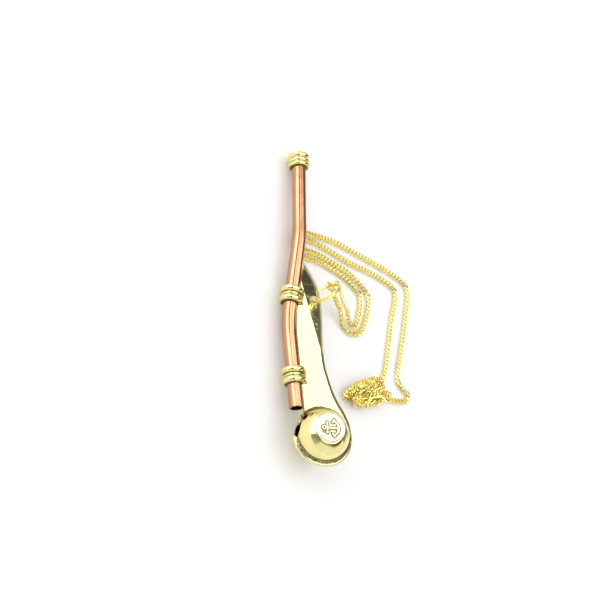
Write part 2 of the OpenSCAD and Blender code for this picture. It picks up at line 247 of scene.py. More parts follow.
def lathe(profile, place, way, steps=128):
    """A profile of (distance along the axis, radius) turned round an axis: the point at
    angle a is place + along * axis + radius * (cos a * side + sin a * third side)."""
    side = unit(np.cross([0, 0, 1.0], way))
    out = circle(1, steps) @ [side, np.cross(way, side)]
    return place + profile[None, :, 0, None] * way + profile[None, :, 1, None] * out[:, None, :]


def carried(path, ways, sides, section):
    """A closed section carried along a path: the point is path + x * side + y * third,
    with third square to the way and the side."""
    return path[:, None] + section @ np.stack([sides, np.cross(ways, sides)], axis=1)


def smooth_curve(points, n):
    """A curve through the points, n steps from each to the next: each stretch is the cubic
    that leaves and arrives along the line between its neighbours."""
    p = np.asarray(points, float)
    q = np.vstack([p[:1], p, p[-1:]])
    a, b, c, d = q[:-3, None], q[1:-2, None], q[2:-1, None], q[3:, None]
    t = (np.arange(n) / n)[None, :, None]
    out = 0.5 * (
        2 * b + (c - a) * t + (2 * a - 5 * b + 4 * c - d) * t**2 + (3 * b - a - 3 * c + d) * t**3
    )
    return np.vstack([out.reshape(-1, p.shape[1]), p[-1:]])


def run_along(path):
    """How far along a path each of its points is."""
    return np.r_[0, np.cumsum(np.linalg.norm(np.diff(path, axis=0), axis=1))]


def evenly(path, step):
    """Points a whole number of equal steps apart along a path, and the way at each."""
    run = run_along(path)
    count = max(2, int(round(run[-1] / step)) + 1)
    at = np.linspace(0, run[-1], count)
    spot = np.stack([np.interp(at, run, path[:, k]) for k in range(3)], axis=1)
    return spot, unit(np.gradient(spot, axis=0))


# The tube's axis

OPEN_END = np.array([9.6, 9.6735])
LOW_ANGLE, MIDDLE_ANGLE = radians(5), radians(-7.5)
LOW_LENGTH, MIDDLE_LENGTH, MOUTH_LENGTH = 27.8, 26.5, 30.2
BEND_R = 60.0
LIP_COVER = 0.8

LOW_TOP = OPEN_END + LOW_LENGTH * heading(LOW_ANGLE)
LOW_CENTRE = LOW_TOP - BEND_R * across(LOW_ANGLE)
MIDDLE_FOOT = LOW_CENTRE + BEND_R * across(MIDDLE_ANGLE)
MIDDLE_TOP = MIDDLE_FOOT + MIDDLE_LENGTH * heading(MIDDLE_ANGLE)
MOUTH_CENTRE = MIDDLE_TOP + BEND_R * across(MIDDLE_ANGLE)
MOUTH_FOOT = MOUTH_CENTRE - BEND_R * across(0)
MOUTH_END = MOUTH_FOOT + [MOUTH_LENGTH, 0]
CALL_END = MOUTH_END + [LIP_COVER, 0]


def tube_axis():
    """Points along the tube's axis from the open end to the mouth: straight, bent, straight,
    bent, straight."""
    t = np.linspace(0, 1, 13)
    low = OPEN_END + np.outer(t, LOW_TOP - OPEN_END)
    first = LOW_CENTRE + BEND_R * across(LOW_ANGLE + t[1:] * (MIDDLE_ANGLE - LOW_ANGLE))
    middle = first[-1] + np.outer(t[1:], MIDDLE_TOP - MIDDLE_FOOT)
    second = MOUTH_CENTRE - BEND_R * across(MIDDLE_ANGLE * (1 - t[1:]))
    mouth = second[-1] + np.outer(t[1:], MOUTH_END - MOUTH_FOOT)
    return np.vstack([low, first, middle, second, mouth])


# Finishes


class Val:
    """A shader socket that Python's own arithmetic works on."""

    def __init__(self, finish, socket):
        self.finish, self.socket = finish, socket

    def _do(self, op, *values):
        return self.finish.node("ShaderNodeMath", {"operation": op}, dict(enumerate(values)))

    def __add__(self, other):
        return self._do("ADD", self, other)

    def __sub__(self, other):
        return self._do("SUBTRACT", self, other)

    def __rsub__(self, other):
        return self._do("SUBTRACT", other, self)

    def __mul__(self, other):
        return self._do("MULTIPLY", self, other)

    __radd__, __rmul__ = __add__, __mul__

    def above(self, low=0.0):
        return self._do("MAXIMUM", self, low)

    def clamp(self):
        return self.finish.node(
            "ShaderNodeMath", {"operation": "ADD", "use_clamp": True}, {0: self, 1: 0.0}
        )

    def step(self, low, high):
        """0 below low, 1 above high, smooth between."""
        return self.finish.node(
            "ShaderNodeMapRange",
            {"interpolation_type": "SMOOTHSTEP"},
            {"Value": self, "From Min": low, "From Max": high},
        )


class Shade:
    """A node tree that is filled node by node."""

    def __init__(self, owner):
        owner.use_nodes = True
        self.tree = owner.node_tree
        self.tree.nodes.clear()

    def node(self, kind, settings=None, values=None, out=0):
        """Adds a node, sets its settings, then sets or links its sockets."""
        made = self.tree.nodes.new(kind)
        for key, value in (settings or {}).items():
            setattr(made, key, value)
        for key, value in (values or {}).items():
            if isinstance(value, Val):
                self.tree.links.new(value.socket, made.inputs[key])
            else:
                made.inputs[key].default_value = value
        return Val(self, made.outputs[out])

    def ends(self, shader, kind="ShaderNodeOutputMaterial"):
        end = self.tree.nodes.new(kind)
        self.tree.links.new(shader.socket, end.inputs["Surface"])

    def mix(self, part, first, second):
        """The first colour where part is 0, the second where it is 1."""
        full = [c if isinstance(c, Val) else (*c[:3], 1.0) for c in (first, second)]
        return self.node(
            "ShaderNodeMix",
            {"data_type": "RGBA"},
            {0: part, 6: full[0], 7: full[1]},
            out=2,
        )

    def split(self, way):
        """The x, y and z of a direction."""
        first = self.node("ShaderNodeSeparateXYZ", None, {0: way})
        return [Val(self, socket) for socket in first.socket.node.outputs]


# Where the keel's nose is filed off: the way across the line where that starts, how far out
# the line is, how steeply the face falls away past it, and how far down the keel it ends.
FILED_WAY, FILED_FROM, FILED_SLOPE, FILED_END = (0.261, -0.965), 8.5, 0.3, 33.0


class Finish(Shade):
    """One metal's node tree."""

    def __init__(self, name):
        self.material = bpy.data.materials.new(name)
        super().__init__(self.material)
        self.places = self.node("ShaderNodeTexCoord", out="Object")

    def noise(self, scale, detail=2.0, rough=0.5, where=None):
        """A pattern of 0 to 1, with its scale in waves per metre."""
        return self.node(
            "ShaderNodeTexNoise",
            None,
            {"Vector": where or self.places, "Scale": scale, "Detail": detail, "Roughness": rough},
        )

    def stretched(self, scale, turn=(0, 0, 0)):
        """The places for a pattern with a scale of its own along each axis."""
        return self.node(
            "ShaderNodeMapping", None, {"Vector": self.places, "Scale": scale, "Rotation": turn}
        )

    def bump(self, height, distance, normal=None):
        values = {"Height": height, "Distance": distance, "Strength": 1.0}
        if normal:
            values["Normal"] = normal
        return self.node("ShaderNodeBump", None, values)

    def filed(self, normal):
        """The keel's nose is filed off at a slant: past a slightly uneven line across it, its
        faces fall away, and the line ends before the keel's narrow middle."""
        past = self.measured(FILED_WAY, FILED_FROM) + self.noise(500, 2) * 0.2
        past = past - self.measured((-1.0, 0.0), -FILED_END).above() * 0.5
        return self.bump(past.above() * -FILED_SLOPE, MM, normal)

    def measured(self, way, start):
        """How many millimetres a place lies along a direction in the keel's plane, less a start."""
        middle, tip = lay(np.array([[0.0, 0.0, 0.0], [*way, 0.0]]))
        row = (tip - middle) / MM
        along = self.node(
            "ShaderNodeVectorMath", {"operation": "DOT_PRODUCT"},
            {0: self.places, 1: tuple(row)}, out="Value",
        )
        return along * 1000.0 - float(row @ middle * 1000 + start)

    def metal(self, colour, roughness, normal):
        values = {"Base Color": colour, "Metallic": 1.0, "Roughness": roughness, "Normal": normal}
        self.ends(self.node("ShaderNodeBsdfPrincipled", None, values))
        return self.material


def dimmed(colour, part):
    """The colour with each of its numbers times a part."""
    return [part * c for c in colour]


def along_call():
    """The turn that lines a pattern's X up with the call's length."""
    return Matrix(TURN.T.tolist()).to_euler()


def brass_finish(name, bright, patina_and_shade, rough=0.09, shade_and_tarnish=0.5, depth=0.00003, filed=False):
    """Polished brass: two tones in soft patches, olive tarnish in specks, tarnish and painted shade
    wherever the mesh carries them, hairline scratches along the call, a little unevenness from the
    buffing wheel."""
    f = Finish(name)
    cloud = f.noise(120, 3, 0.6).step(0.35, 0.7)
    specks = f.noise(900, 4, 0.7).step(0.62, 0.78) * f.noise(160, 2).step(0.5, 0.65) * shade_and_tarnish
    # The mesh's marks are painted shade with tarnish, in corners and at the feet of parts, broken up a little;
    # from here the specks hold that painted shade too.
    shade_tarnish_marks = f.node("ShaderNodeAttribute", {"attribute_name": "shade_and_tarnish"}, out="Fac")
    broken = f.noise(1500, 3, 0.7).step(0.3, 0.6)
    specks = (specks + shade_tarnish_marks * (0.6 + 0.4 * broken)).clamp()
    hairs = f.noise(1, 2, 0.6, f.stretched((150, 2600, 2600), along_call())).step(0.55, 0.75)
    tone = f.mix(cloud * 0.5, bright, dimmed(bright, 0.82))
    tone = f.mix(specks, tone, patina_and_shade)
    wheel = f.noise(260, 2, 0.4)
    dents = f.noise(2200, 2, 0.5)
    normal = f.bump(wheel * 0.35 + dents * 0.05 + hairs * 0.09, depth)
    if filed:
        normal = f.filed(normal)
    return f.metal(tone, (cloud * 0.07 + specks * 0.35 + hairs * 0.05 + rough).clamp(), normal)


def solder_finish(name, bright, patina_and_shade):
    """Dull solder, darkened partly for tarnish and partly as painted shade in the groove round the shell's foot,
    blotched with tarnish and left rough from the iron.
    """
    f = Finish(name)
    blotch = f.noise(1000, 4, 0.75).step(0.42, 0.60)
    tone = f.mix(blotch, dimmed(bright, 0.42), dimmed(patina_and_shade, 0.45))
    return f.metal(tone, (blotch * 0.2 + 0.25).clamp(), f.bump(f.noise(1400, 3, 0.6), 0.00016))


def copper_finish(name, bright, dark, rough=0.12):
    """Drawn copper: brown patches, lengthwise drawing lines, dark specks and small dents."""
    f = Finish(name)
    cloud = f.noise(55, 3, 0.6).step(0.4, 0.75)
    lines = f.noise(1, 3, 0.6, f.stretched((30, 2200, 2200), along_call()))
    specks = f.noise(1100, 3, 0.7).step(0.66, 0.8) * 0.5
    tone = f.mix(cloud * 0.45, bright, dark)
    tone = f.mix(lines.step(0.55, 0.8) * 0.35, tone, dark)
    tone = f.mix(specks, tone, dimmed(dark, 0.5))
    normal = f.bump(lines * 0.12 + f.noise(230, 2, 0.4) * 0.5, 0.00006)
    return f.metal(tone, (cloud * 0.08 + lines * 0.06 + specks * 0.2 + rough).clamp(), normal)


def chain_finish(name, bright, patina_and_shade):
    """Bright wire in two tones, with fine specks of tarnish."""
    f = Finish(name)
    patch = f.noise(500, 3, 0.6).step(0.4, 0.75)
    specks = f.noise(2600, 3, 0.7).step(0.6, 0.8) * 0.4
    tone = f.mix(patch * 0.4, bright, dimmed(bright, 0.8))
    tone = f.mix(specks, tone, patina_and_shade)
    rough = (patch * 0.08 + specks * 0.2 + 0.2).clamp()
    return f.metal(tone, rough, f.bump(f.noise(1800, 2), 0.00003))


def dress(piece, material):
    """Gives a piece one material in place of any that it has."""
    piece.data.materials.clear()
    piece.data.materials.append(material)


METALS = {
    "brass": lambda c: brass_finish("polished_brass", c.brass, c.patina_and_shade),
    "keel_brass": lambda c: brass_finish(
        "keel_brass", c.pale, c.patina_and_shade, rough=0.06, shade_and_tarnish=0.6, depth=0.000042, filed=True
    ),
    # The medallions' patina is darkened further, so that the painted shade beside the anchor is deep.
    "pale_brass": lambda c: brass_finish(
        "medallion_brass", c.medal, dimmed(c.patina_and_shade, 0.35), rough=0.16, shade_and_tarnish=0.3
    ),
    "solder": lambda c: solder_finish("solder_brass", c.brass, c.patina_and_shade),
    "copper": lambda c: copper_finish("copper_tube", c.copper, c.copper_dark),
    "chain_brass": lambda c: chain_finish("chain_brass", c.chain, c.patina_and_shade),
}
FINISHES = {}


def finish(kind):
    """Each metal, made once. All but the solder's go by the name of a material slot."""
    if kind not in FINISHES:
        FINISHES[kind] = METALS[kind](bpy.context.scene.call_finish)
    return FINISHES[kind]


# The chain's route

# The same points as the route of the chain's solids, in metres, and the shift that takes
# them to the frame.
SHIFT = np.array([-0.0517922, -0.0020286, 0.0])
LEFT_RUN = [
    (0.0564, -0.0148, 0.0044), (0.0542, -0.0178, 0.0021), (0.0518, -0.0199, 0.0008),
    (0.0501, -0.023, 0.00075), (0.0506, -0.0272, 0.00075), (0.0532, -0.0306, 0.00075),
    (0.058, -0.0325, 0.00075), (0.0636, -0.034, 0.00075), (0.0679, -0.034, 0.00075),
    (0.0706, -0.0316, 0.00075), (0.0728, -0.028, 0.00075), (0.0745, -0.0246, 0.00075),
    (0.0756, -0.0213, 0.00075), (0.077, -0.0131, 0.00075), (0.078, -0.0067, 0.00075),
    (0.0778, -0.002, 0.00075), (0.0778, 0.0012, 0.00075), (0.0796, 0.0034, 0.00075),
    (0.0819, 0.0016, 0.00075), (0.0825, -0.004, 0.00075), (0.0819, -0.01, 0.00075),
    (0.0798, -0.023, 0.00075), (0.0789, -0.037, 0.00075), (0.0768, -0.0465, 0.00075),
    (0.0738, -0.0493, 0.00075), (0.0679, -0.0483, 0.00075), (0.0623, -0.047, 0.00075),
    (0.0546, -0.0457, 0.00075), (0.047, -0.0445, 0.00075), (0.041, -0.0434, 0.00075),
    (0.0342, -0.0414, 0.00075),
]
RIGHT_RUN = [
    (0.0579, -0.0168, 0.0051), (0.057, -0.02, 0.0032), (0.0544, -0.0228, 0.0014),
    (0.0532, -0.025, 0.00075), (0.055, -0.0276, 0.00075), (0.0601, -0.029, 0.00075),
    (0.0645, -0.0296, 0.00075), (0.0682, -0.0286, 0.00075), (0.07, -0.0257, 0.00075),
    (0.0716, -0.0226, 0.00075), (0.0732, -0.0178, 0.00075), (0.0742, -0.0126, 0.00075),
    (0.075, -0.0072, 0.00075), (0.0748, -0.002, 0.00075), (0.0748, 0.002, 0.00075),
    (0.0766, 0.005, 0.00075), (0.08, 0.0061, 0.00075), (0.0834, 0.0046, 0.00075),
    (0.085, 0.001, 0.00075), (0.0856, -0.0046, 0.00075), (0.0861, -0.012, 0.00075),
    (0.0862, -0.0164, 0.00075), (0.0847, -0.03, 0.00075), (0.0829, -0.044, 0.00075),
    (0.0809, -0.0527, 0.00075), (0.078, -0.056, 0.00075), (0.0726, -0.0563, 0.00075),
    (0.0645, -0.0548, 0.00075), (0.0569, -0.0534, 0.00075), (0.0476, -0.0515, 0.00075),
    (0.0404, -0.05, 0.00075), (0.0366, -0.05, 0.00075), (0.0342, -0.0526, 0.00075),
    (0.0323, -0.0556, 0.00075), (0.03, -0.0548, 0.00075), (0.0282, -0.049, 0.00075),
    (0.028, -0.0414, 0.00075),
]
LYING = 0.00075
HEAP_MIDDLE = np.array([0.0276, -0.031])
HEAP_WAY = np.array([-0.396, 0.918])
HEAP_LONG, HEAP_WIDE, HEAP_HIGH = 0.0120, 0.0045, 0.0042


def run_path(points):
    """A run of the chain in the frame, never lower than chain that lies on the table."""
    path = smooth_curve(points, 8) + SHIFT
    path[:, 2] = np.maximum(path[:, 2], LYING)
    return path


def heap_path(turns):
    """The heap: a point swings to and fro along it while it swings across it 1.4 times as
    fast, both by a reach that wanders, so that the chain crosses itself everywhere."""
    t = np.linspace(0, 1, 60 * turns)
    wander = 0.80 + 0.20 * np.sin(2 * np.pi * 1.7 * t + 2.2)
    u = np.sin(2 * np.pi * turns * t + 1.9) * wander
    half = (0.30 + 0.70 * np.sqrt(1 - u * u * 0.98)) * (1 - 0.22 * u)
    v = half * np.sin(2 * np.pi * 1.41 * turns * t + 0.5 * np.sin(7 * t))
    long_way = unit(HEAP_WAY)
    short_way = np.array([long_way[1], -long_way[0]])
    flat = HEAP_MIDDLE + np.outer(HEAP_LONG * u, long_way)
    flat = flat + np.outer(HEAP_WIDE * (v - 0.2), short_way)
    return raised(flat, LYING) + SHIFT


def settle(path, gap=0.0021, lift=0.00135, apart=0.005, drop=0.0003):
    """Lays a path down in order: a spot that comes within a gap of chain which is some way
    back along it lies on top of that. The heights are then eased, so that they drop no
    faster than a little each step, and held under the heap's height."""
    run = run_along(path[:, :2])
    z = path[:, 2].copy()
    for i in range(1, len(path)):
        near = np.linalg.norm(path[:i, :2] - path[i, :2], axis=1)
        under = (near < gap) & (run[i] - run[:i] > apart)
        if under.any():
            over = z[:i][under] + lift * np.sqrt(1 - (near[under] / gap) ** 2)
            z[i] = max(LYING, over.max())
    for _ in range(3):
        top = np.maximum(z, np.maximum(np.r_[z[1:], z[-1]], np.r_[z[0], z[:-1]]) - drop)
        z = 0.5 * top + 0.25 * (np.r_[top[1:], top[-1]] + np.r_[top[0], top[:-1]])
    out = path.copy()
    out[:, 2] = LYING + HEAP_HIGH * (1 - np.exp(-np.maximum(z - LYING, 0) / HEAP_HIGH))
    return out


LINK_STEPS, WIRE_STEPS, LINK_LAP = 12, 5, 0.52


def links(path, chain, roll=None):
    """Curb links along a path. A link's wire follows (a cos t, b sin t) with the ends turned
    by plus and minus the twist about the chain's length: the point at t is
    a cos t * way + b sin t * (cos(twist cos t) * side + sin(twist cos t) * above),
    and a small circle is carried round it. A roll turns the links about the chain, by an
    angle that depends on the distance along it. Nothing goes below the floor."""
    spots, ways = evenly(path, chain.pitch)
    sides = unit(np.cross(ways, [0, 0, 1.0]))
    above = np.cross(sides, ways)
    if roll is not None:
        turned = roll(np.arange(len(spots)) * chain.pitch)[:, None]
        sides = np.cos(turned) * sides + np.sin(turned) * above
        above = np.cross(sides, ways)
    long_r = chain.pitch / 2 + chain.wire * LINK_LAP
    wide_r = (chain.width - chain.wire) / 2
    t = np.linspace(0, 2 * np.pi, LINK_STEPS, endpoint=False)
    lean, wide = chain.twist * np.cos(t), wide_r * np.sin(t)
    line = np.stack([long_r * np.cos(t), wide * np.cos(lean), wide * np.sin(lean)], axis=1)
    go = unit(np.roll(line, -1, axis=0) - np.roll(line, 1, axis=0))
    ring = circle(chain.wire / 2, WIRE_STEPS)[None]
    link = carried(line, go, square_to(unit(line), go), ring).reshape(-1, 3)
    points = spots[:, None] + link @ np.stack([ways, sides, above], axis=1)
    points[..., 2] = np.maximum(points[..., 2], 0.0)
    first = np.arange(len(spots)) * len(link)
    faces = grid_faces(LINK_STEPS, WIRE_STEPS, True, True) + first[:, None, None]
    return points, faces.reshape(-1, 4)


# Ring and end links

RING_HEADING, RING_LEAN = radians(42), radians(28)
LINK_R, LINK_WIRE, LINK_PLAY = 1.65, 0.6, 0.1
LINK_PLACES = {"left": (32, -58), "right": (2, -62)}


def ring_frame():
    """The way the ring points, its axis and its third side, in the keel's axes."""
    out = -raised(across(RING_HEADING))
    axis = raised(np.cos(RING_LEAN) * heading(RING_HEADING), np.sin(RING_LEAN))
    return out, axis, np.cross(axis, out)


def ring_middle(r):
    """The split ring's middle: it hangs from the hole's."""
    return raised(HOLE) + r * ring_frame()[0]


def link_spot(side, sizes):
    """Middle, wire's way and pull of an end link. The pull takes it away from the ring's wire
    until its own wire all but bears on it."""
    r, wire = sizes.ring_r, sizes.ring_wire
    out, axis, down = ring_frame()
    a, b = map(radians, LINK_PLACES[side])
    outward, way = heading(a) @ [out, down], across(a) @ [out, down]
    pull = heading(b) @ [outward, axis]
    slack = LINK_R - LINK_WIRE / 2 - wire - LINK_PLAY
    return ring_middle(r) + r * outward + slack * pull, way, pull


def open_wire(name, path, sides, wire, steps, body, node):
    """A round wire along an open path, rounded off at both ends: a part of the last two steps
    in from the end, its radius is the full one times the root of 1 - (1 - part) ^ 2."""
    ways = unit(np.gradient(path, axis=0))
    from_end = np.minimum(np.arange(len(path)), np.arange(len(path))[::-1])
    end = np.clip(from_end / 2.0, 0, 1)
    section = circle(1, steps)[None] * (wire / 2 * np.sqrt(1 - (1 - end) ** 2))[:, None, None]
    points = lay(carried(path, ways, square_to(sides, ways), section))
    put(name, points, grid_faces(len(path), steps, False, True), body, (node,), "chain_brass")


# Operators


class Maker:
    """What every piece's operator shares: it makes its piece from the call's sizes, here in
    millimetres, and the chain's, in metres."""

    bl_options = {"REGISTER", "UNDO"}

    def execute(self, context):
        given, chain = context.scene.call_sizes, context.scene.call_chain
        sizes = {key: getattr(given, key) / MM for key in CALL_PG_sizes.__annotations__}
        self.make(SimpleNamespace(**sizes), chain)
        return {"FINISHED"}


# The camera stands where the photograph was taken from, in metres and degrees.
CAMERA_PLACE = (-0.23032, 0.35923, 0.39818)
CAMERA_TURN = (23.1006, -42.3249, -89.1829)
CAMERA_LENS, CAMERA_SENSOR, CAMERA_NEAR = 92.58, 36.0, 0.01
LAMP_PLACE, LAMP_SIZE, LAMP_POWER = (0.15, -0.35, 0.60), (0.40, 0.30), 0.55
FLOOR_HALF, FLOOR_BELOW, FLOOR_STEPS = 1.6, 0.0002, 9


class CALL_OT_stage(Maker, bpy.types.Operator):
    """Makes the floor, the camera, the lamp and the studio that the metal reflects"""

    bl_idname = "call.stage"
    bl_label = "Stage"

    def make(self, sizes, chain):
        scene = bpy.context.scene
        scene.view_settings.view_transform = "Standard"
        camera = bpy.data.objects.new("camera", bpy.data.cameras.new("camera"))
        camera.data.sensor_width = CAMERA_SENSOR
        camera.data.lens = CAMERA_LENS
        camera.data.clip_start = CAMERA_NEAR
        camera.location = CAMERA_PLACE
        camera.rotation_euler = [radians(angle) for angle in CAMERA_TURN]
        scene.collection.objects.link(camera)
        scene.camera = camera
        self.floor()
        self.lamp(scene)
        self.world(scene)

    def floor(self):
        """A flat square far larger than the view."""
        t = np.linspace(-FLOOR_HALF, FLOOR_HALF, FLOOR_STEPS)
        points = raised(np.stack(np.meshgrid(t, t, indexing="ij"), axis=-1), -FLOOR_BELOW)
        plane = put("floor", points, grid_faces(FLOOR_STEPS, FLOOR_STEPS, False, False))
        board = Finish("floor_white")
        grain = board.noise(14, 2).step(0.3, 0.7)
        tone = board.mix(grain, (0.90, 0.90, 0.90), (0.915, 0.915, 0.915))
        values = {"Base Color": tone, "Roughness": 0.7}
        board.ends(board.node("ShaderNodeBsdfPrincipled", None, values))
        dress(plane, board.material)

    def lamp(self, scene):
        """A soft lamp on the keel's side that shines on the part and isn't mirrored in it."""
        light = bpy.data.lights.new("key_lamp", "AREA")
        light.shape = "RECTANGLE"
        light.size, light.size_y = LAMP_SIZE
        light.energy = LAMP_POWER
        lamp = bpy.data.objects.new("key_lamp", light)
        lamp.location = LAMP_PLACE
        lamp.visible_glossy = False
        lamp.rotation_euler = (-Vector(LAMP_PLACE)).to_track_quat("-Z", "Y").to_euler()
        scene.collection.objects.link(lamp)

    def world(self, scene):
        """White to the eye and an even light to the floor. The metals see a studio, whose
        light depends on the way (x, y, z) that a reflection looks."""
        scene.world = bpy.data.worlds.new("studio")
        sky = Shade(scene.world)
        x, y, z = sky.split(sky.node("ShaderNodeTexCoord", out="Generated"))
        # Pale walls half way up, on the keel's side darker towards the mouth and high up.
        wall = z.step(0.60, 0.48) * (1 - 0.8 * (y.step(-0.3, -0.5) * x.step(0.1, 0.3)))
        high = x.step(-0.2, -0.1) * y.step(-0.72, -0.82) * z.step(0.2, 0.34)
        wall = wall * (1 - 0.75 * high)
        # On the tube's side a dark pillar towards the ball, and next to it a low bright light.
        corner = x - 1.3 * (y - 0.73).clamp()
        pillar = y.step(0.5, 0.62) * corner.step(-0.86, -0.56) * x.step(-0.04, -0.14)
        side_light = x.step(-0.14, -0.04) * y.step(0.38, 0.5) * z.step(0.62, 0.54)
        wall = wall * (1 - pillar * 0.75) * (1 - side_light)
        # A soft light overhead that reaches down on the keel's side, with its ends cut off.
        short = y.step(-0.48, -0.38)
        long = y.step(-0.76, -0.66) * x.step(0.24, 0.32) * (y - 5.4 * x).step(-2.95, -2.8)
        over = (0.5 * z - 0.866 * y).step(-0.04, 0.04) * (short + long - short * long)
        ends = (x.step(-0.45, -0.3) + z.step(0.74, 0.82)).clamp() * x.step(0.53, 0.50)
        over = over * z.step(0.45, 0.6) * ends
        # In one place the low light reaches up into the soft one. High up beyond that it is dim.
        join = x.step(0.10, 0.20) * x.step(0.37, 0.33) * y.step(0.42, 0.5) * z.step(0.50, 0.56)
        side_light = side_light + join * (1 - side_light)
        over = over * (1 - join)
        far = (x.step(-0.70, -0.80) + x.step(0.58, 0.68) + y.step(0.68, 0.76)).clamp()
        far = far * z.step(0.45, 0.6) * (1 - over) * (1 - side_light)
        bright = 1.75 + 1.3 * y.step(0.08, 0.2) + 1.0 * y.step(-0.15, -0.3)
        seen = 0.07 + 0.9 * wall + 3.0 * side_light + bright * over + 0.5 * far
        rays = [sky.node("ShaderNodeLightPath", out=k) for k in ("Is Camera Ray", "Is Diffuse Ray")]
        plain = rays[0] + rays[1]
        values = {"Color": (1, 1, 1, 1), "Strength": plain + (1 - plain) * seen}
        sky.ends(sky.node("ShaderNodeBackground", None, values), "ShaderNodeOutputWorld")


# How far past its end link a lead starts, in millimetres, and lengths of chain in metres.
LEAD_OFF = 0.9
LEAD_SAG, PILE_STEP, CORD_STEP, CALM = 0.0004, 0.0007, 0.002, 0.01


def joined(before, start, end, after, steps=10):
    """The smooth stretch from one path's last point to the next one's first."""
    return smooth_curve([before, start, end, after], steps)[steps : 2 * steps + 1]


class CALL_OT_chain(Maker, bpy.types.Operator):
    """Lays the neck chain: two runs, the heap between them and the two short leads"""

    bl_idname = "call.chain"
    bl_label = "Neck chain"

    def make(self, sizes, chain):
        left, right = run_path(LEFT_RUN), run_path(RIGHT_RUN)
        heap = heap_path(chain.turns)
        into = joined(left[-9], left[-1], heap[0], heap[10])
        out = joined(heap[-10], heap[-1], right[-1], right[-9])
        pile = settle(evenly(np.vstack([into, heap, out]), PILE_STEP)[0])
        whole = np.vstack([left, pile[1:-1], right[::-1]])
        heap_from, after, total = (run_along(p)[-1] for p in (left, right, whole))
        heap_to = total - after

        def roll(at):
            """The links sway a little about the chain, and much more in the heap."""
            loose = ease(at, heap_from, heap_from + CALM) * (1 - ease(at, heap_to - CALM, heap_to))
            swing = np.sin(at / 0.0061) + 0.8 * np.sin(at / 0.0037 + 1) + 0.5 * np.sin(at / 0.0019)
            return (0.05 + 0.45 * loose) * swing

        nodes = ("chain_run_left", "chain_run_right", "chain_heap")
        piece = put("neck_chain", *links(whole, chain, roll), "call", nodes, "chain_brass")
        for side, start in (("left", left[0]), ("right", right[0])):
            middle, _, pull = link_spot(side, sizes)
            top = lay(middle + (LINK_R + LEAD_OFF) * pull)
            sag = 0.5 * (top + start) - [0, 0, LEAD_SAG]
            lead = smooth_curve([top, sag, start], 8)[:-2]
            made = put("chain_lead_" + side, *links(lead, chain), slot="chain_brass")
            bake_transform(made)
        spots = evenly(whole, CORD_STEP)[0]


COIL_ENDS, COIL_CROSS, COIL_START = radians(16), radians(20), radians(60)
COIL_PRESS, COIL_ROWS, COIL_STEPS = 0.02, 320, 16
LINK_GAP, LINK_START = radians(5), radians(140)
END_LINK_ROWS, END_LINK_STEPS = 72, 12


class CALL_OT_ring(Maker, bpy.types.Operator):
    """Winds the split ring and closes the chain's two end links on it"""

    bl_idname = "call.ring"
    bl_label = "Split ring"

    def make(self, sizes, chain):
        """The coil goes twice round and steps over by its wire half way, by tanh of the angle
        from there. An end link goes once round, but for a narrow gap."""
        out, axis, down = ring_frame()
        r, wire = sizes.ring_r, sizes.ring_wire
        turn = np.linspace(COIL_ENDS, 4 * np.pi - COIL_ENDS, COIL_ROWS)
        rise = np.tanh((turn - 2 * np.pi) / COIL_CROSS) * (wire - COIL_PRESS) / 2
        spin = heading(turn + COIL_START) @ [out, down]
        path = ring_middle(r) + r * spin + rise[:, None] * axis
        open_wire("split_ring_coil", path, spin, wire, COIL_STEPS, "ring", "split_ring")
        for side in LINK_PLACES:
            middle, way, pull = link_spot(side, sizes)
            a = np.linspace(LINK_GAP, 2 * np.pi - LINK_GAP, END_LINK_ROWS) + LINK_START
            spin = heading(a) @ [pull, np.cross(way, pull)]
            open_wire(
                "end_link_" + side, middle + LINK_R * spin, spin, LINK_WIRE, END_LINK_STEPS,
                "chain_ends", "chain_end_link_" + side,
            )


TUBE_STEPS, TUBE_BEVEL, TUBE_FIT = 96, 0.12, 0.03


class CALL_OT_tube(Maker, bpy.types.Operator):
    """Draws the bent copper tube with its bore"""

    bl_idname = "call.tube"
    bl_label = "Copper tube"

    def make(self, sizes, chain):
        """A circle carried along the bent axis, out along the outside and back along the bore,
        with the open end's outer edge broken."""
        path = raised(tube_axis())
        ways = unit(np.gradient(path, axis=0))
        sides = unit(np.cross(ways, [0, 0, 1.0]))
        r, bore = sizes.tube_r, sizes.bore_r
        outer = carried(path, ways, sides, circle(r, TUBE_STEPS)[None])
        inner = carried(path, ways, sides, circle(bore, TUBE_STEPS)[None])
        outer[0] += [TUBE_BEVEL, 0, 0]
        rim = carried(path[:1], ways[:1], sides[:1], circle(r - TUBE_BEVEL, TUBE_STEPS)[None])
        rows = np.concatenate([inner[::-1], rim, outer])
        put_closed("copper_tube", rows, "gun_tube", "copper", -1)


# The rings' sizes, and for each collar the end of the straight that it is on, the straight's
# angle, and how far back from that end its middle is.
BEAD_HIGH, BAND_HIGH, BAND_R = 2.5, 1.4, 3.7
COLLAR_HALF = BEAD_HIGH + BAND_HIGH / 2
MOUTH_R, MOUTH_BEAD_HIGH, LIP_HIGH = 4.15, 1.7, 2.6
COLLARS = {
    "middle_collar": (MIDDLE_TOP, MIDDLE_ANGLE, 22.7),
    "low_collar": (LOW_TOP, LOW_ANGLE, 15.5),
}


def bead_profile(height, outer, inner, start, steps=14):
    """Half a circle as high as the bead, standing on a short shoulder. The third number of
    each row is the tarnish and painted shade there, which gather at both feet of the bead."""
    a = np.linspace(-np.pi / 2, np.pi / 2, steps)
    half, crown = height / 2, outer - height / 2
    collar_shade_tarnish = 1 - ease(np.cos(a), 0.24, 0.56)
    arc = np.stack([start + half + half * np.sin(a), crown + half * np.cos(a), collar_shade_tarnish], axis=1)
    return np.vstack([[start, inner, 1], arc, [start + height, inner, 1]])


